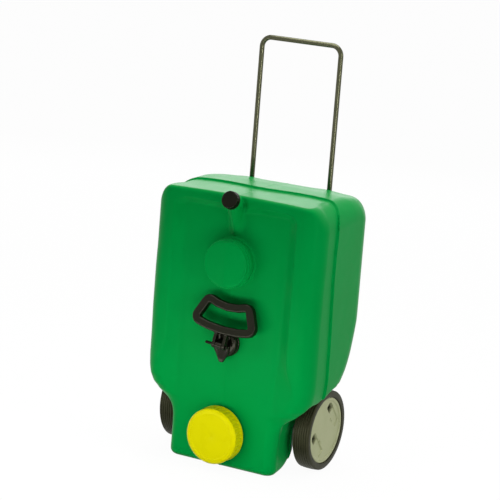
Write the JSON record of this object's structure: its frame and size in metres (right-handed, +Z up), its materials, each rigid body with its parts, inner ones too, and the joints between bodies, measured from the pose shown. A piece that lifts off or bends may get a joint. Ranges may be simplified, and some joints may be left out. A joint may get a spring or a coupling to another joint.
{
  "type": "portable waste water tank",
  "caption": "Blow-moulded upright tank with a wide screw cap low on its front, a vent cap, a folding carry loop, a sliding metal pull handle and wheels.",
  "frame": {"origin": "bottom centre of the whole object's box, on the ground", "axes": "+Z up, -Y towards the front with the screw cap, +X to the right seen from the front"},
  "size_m": [0.385, 0.2722, 0.8497],
  "materials": {
    "tank_green": "satin moulded polyethylene",
    "cap_yellow": "semi-gloss moulded",
    "handle_black": "satin moulded",
    "fitting_black": "matt moulded",
    "tyre_rubber": "matt, ribbed",
    "wheel_grey": "satin moulded",
    "bush_nylon": "natural",
    "seal_rubber": "matt",
    "rod_steel": "bright plated",
    "plated_steel": "zinc plated"
  },
  "bodies": {
    "tank": {"tank_shell": "tank_green", "push_nut_left": "plated_steel", "push_nut_right": "plated_steel", "axle": "plated_steel", "axle_saddle_left": "fitting_black", "saddle_screw_left_1": "plated_steel", "saddle_screw_left_2": "plated_steel", "axle_saddle_right": "fitting_black", "saddle_screw_right_1": "plated_steel", "saddle_screw_right_2": "plated_steel", "rod_guide_upper_left": "fitting_black", "guide_screw_upper_left_1": "plated_steel", "guide_screw_upper_left_2": "plated_steel", "rod_guide_upper_right": "fitting_black", "guide_screw_upper_right_1": "plated_steel", "guide_screw_upper_right_2": "plated_steel", "rod_guide_lower_left": "fitting_black", "guide_screw_lower_left_1": "plated_steel", "guide_screw_lower_left_2": "plated_steel", "rod_guide_lower_right": "fitting_black", "guide_screw_lower_right_1": "plated_steel", "guide_screw_lower_right_2": "plated_steel", "handle_base": "handle_black", "base_screw_1": "fitting_black", "base_screw_2": "fitting_black", "base_screw_3": "fitting_black"},
    "wheel_left": {"tyre_left": "tyre_rubber", "wheel_disc_left": "wheel_grey", "wheel_bush_left": "bush_nylon"},
    "wheel_right": {"tyre_right": "tyre_rubber", "wheel_disc_right": "wheel_grey", "wheel_bush_right": "bush_nylon"},
    "pull_handle": {"pull_rod": "rod_steel", "rod_stop_left": "fitting_black", "rod_stop_right": "fitting_black"},
    "handle_swivel": {"handle_knuckle": "handle_black", "handle_pin": "fitting_black"},
    "carry_loop": {"carry_handle": "handle_black"},
    "drain_cap_travel": {"drain_seal": "seal_rubber"},
    "drain_cap_turn": {"drain_cap": "cap_yellow"},
    "vent_cap_travel": {"vent_seal": "seal_rubber"},
    "vent_cap_turn": {"vent_cap": "handle_black"}
  },
  "joints": [
    {"name": "wheel_left_spin", "type": "hinge", "parent": "tank", "child": "wheel_left", "pos_m": [-0.1555, 0.03281, 0.0825], "axis": [1, 0, 0], "continuous": true},
    {"name": "wheel_right_spin", "type": "hinge", "parent": "tank", "child": "wheel_right", "pos_m": [0.1555, 0.03281, 0.0825], "axis": [1, 0, 0], "continuous": true},
    {"name": "pull_handle_slide", "type": "slide", "parent": "tank", "child": "pull_handle", "axis": [0, -0.0035, -1], "range_m": [0, 0.2768]},
    {"name": "handle_swivel_turn", "type": "hinge", "parent": "tank", "child": "handle_swivel", "pos_m": [0, -0.0937, 0.2575], "axis": [0, 1, 0], "continuous": true},
    {"name": "carry_loop_fold", "type": "hinge", "parent": "handle_swivel", "child": "carry_loop", "pos_m": [0, -0.1277, 0.2575], "axis": [0.9976, 0, -0.0698], "range_deg": [0, 193]},
    {"name": "drain_cap_slide", "type": "slide", "parent": "tank", "child": "drain_cap_travel", "axis": [0, -1, 0], "range_m": [0, 0.012]},
    {"name": "drain_cap_unscrew", "type": "hinge", "parent": "drain_cap_travel", "child": "drain_cap_turn", "pos_m": [0, -0.12929, 0.072], "axis": [0, -1, 0], "range_deg": [0, 720]},
    {"name": "vent_cap_slide", "type": "slide", "parent": "tank", "child": "vent_cap_travel", "axis": [0, -0.9397, 0.342], "range_m": [0, 0.006]},
    {"name": "vent_cap_unscrew", "type": "hinge", "parent": "vent_cap_travel", "child": "vent_cap_turn", "pos_m": [0, -0.1257, 0.55], "axis": [0, -0.9397, 0.342], "range_deg": [0, 720]}
  ],
  "couplings": [
    {"joint": "drain_cap_unscrew", "follows": "drain_cap_slide", "rad_per_m": 1047},
    {"joint": "vent_cap_unscrew", "follows": "vent_cap_slide", "rad_per_m": 2094}
  ]
}
